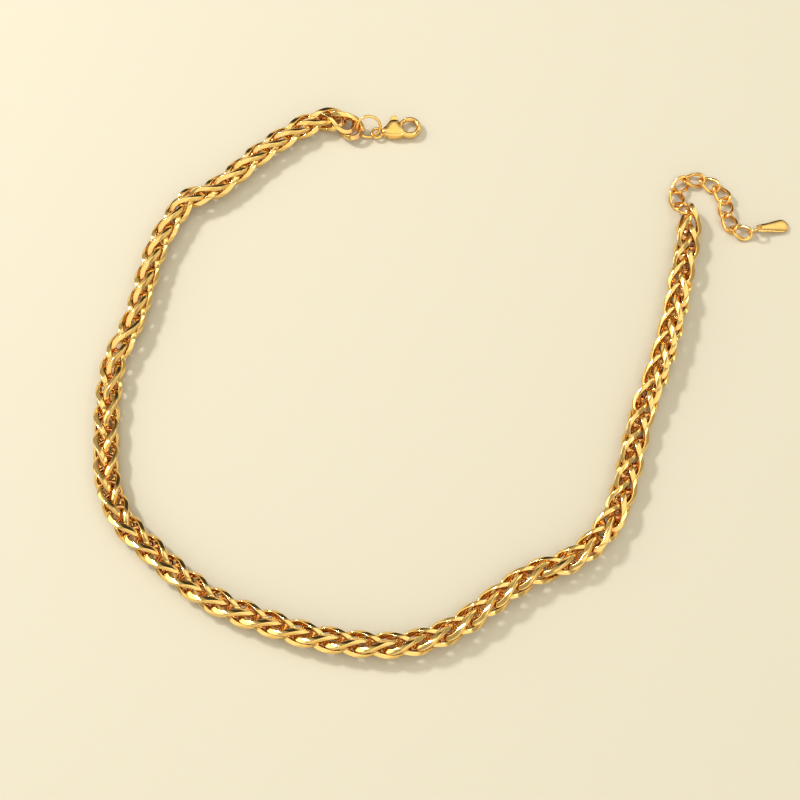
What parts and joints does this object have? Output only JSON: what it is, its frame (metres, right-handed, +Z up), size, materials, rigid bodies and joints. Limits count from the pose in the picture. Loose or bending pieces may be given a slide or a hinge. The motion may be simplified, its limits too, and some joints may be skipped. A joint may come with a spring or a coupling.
{
  "type": "wheat chain necklace",
  "caption": "Gold-coloured wheat chain necklace laid open in a U, with a lobster clasp at one end and an extender chain with a drop tag at the other",
  "frame": {"origin": "middle of the whole outline, on the surface that it lies on", "axes": "+Z up from the surface, +X to the right and +Y away from the viewer as pictured"},
  "size_m": [0.1784, 0.1512, 0.0062],
  "materials": {
    "gold_steel": "polished gold-coloured plating on stainless steel"
  },
  "bodies": {
    "necklace": {"chain_01": "gold_steel", "chain_02": "gold_steel", "chain_03": "gold_steel", "chain_04": "gold_steel", "chain_05": "gold_steel", "chain_06": "gold_steel", "chain_07": "gold_steel", "chain_08": "gold_steel", "chain_09": "gold_steel", "chain_10": "gold_steel", "chain_11": "gold_steel", "chain_12": "gold_steel", "chain_13": "gold_steel", "chain_14": "gold_steel", "chain_15": "gold_steel", "chain_16": "gold_steel", "chain_17": "gold_steel", "chain_18": "gold_steel", "end_link_clasp": "gold_steel", "end_link_extender": "gold_steel", "clasp_ring": "gold_steel", "clasp_body": "gold_steel", "clasp_rivet": "gold_steel", "extender_ring": "gold_steel", "extender_link_01": "gold_steel", "extender_link_02": "gold_steel", "extender_link_03": "gold_steel", "extender_link_04": "gold_steel", "extender_link_05": "gold_steel", "extender_link_06": "gold_steel", "extender_link_07": "gold_steel", "extender_link_08": "gold_steel", "tag_ring": "gold_steel", "tag": "gold_steel"},
    "lever": {"clasp_lever": "gold_steel"}
  },
  "joints": [
    {"name": "lever_hinge", "type": "hinge", "parent": "necklace", "child": "lever", "pos_m": [-0.01457, 0.07038, 0.0014], "axis": [0, 0, -1], "range_deg": [0, 25], "stiffness_Nm_per_rad": 0.002, "springref_deg": -5.73}
  ]
}
